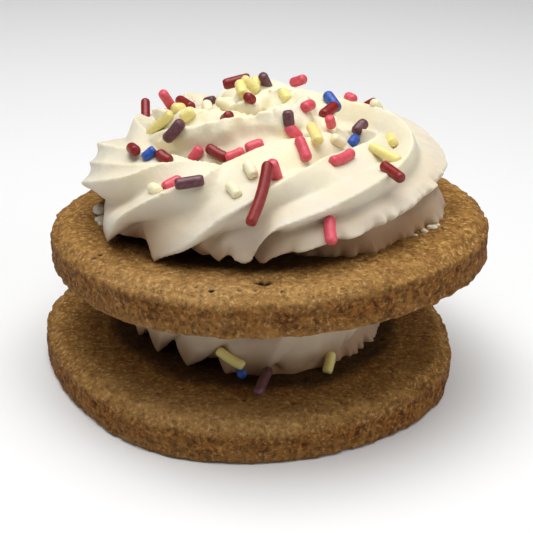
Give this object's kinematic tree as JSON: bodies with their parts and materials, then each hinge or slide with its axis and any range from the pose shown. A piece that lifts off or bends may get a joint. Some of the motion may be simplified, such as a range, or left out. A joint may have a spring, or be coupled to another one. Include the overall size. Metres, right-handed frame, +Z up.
{
  "type": "biscuit sandwich with piped cream and sprinkles",
  "caption": "Round biscuit sandwich with a piped cream filling, topped by a piped star-tip cream swirl with sugar sprinkles.",
  "frame": {"origin": "middle of the lower biscuit's flat underside, on the surface it stands on", "axes": "+Z up, square to the underside; the shown side faces -Y; +X to the viewer's right"},
  "size_m": [0.0807, 0.0781, 0.0526],
  "materials": {
    "biscuit": "dry fine-grained baked biscuit, golden brown with darker specks and pits",
    "cream": "smooth whipped butter cream, soft sheen, slightly translucent",
    "sprinkle_dark_red": "dark red sugar rod, satin",
    "sprinkle_pink": "coral pink sugar rod, satin",
    "sprinkle_purple": "dull purple sugar rod, satin",
    "sprinkle_blue": "blue sugar rod, satin",
    "sprinkle_yellow": "pale yellow sugar rod, satin",
    "sprinkle_white": "cream white sugar rod, satin"
  },
  "bodies": {
    "root": {"cookie_bottom": "biscuit", "cream_filling": "cream", "cookie_top": "biscuit", "cream_top": "cream"}
  },
  "joints": []
}
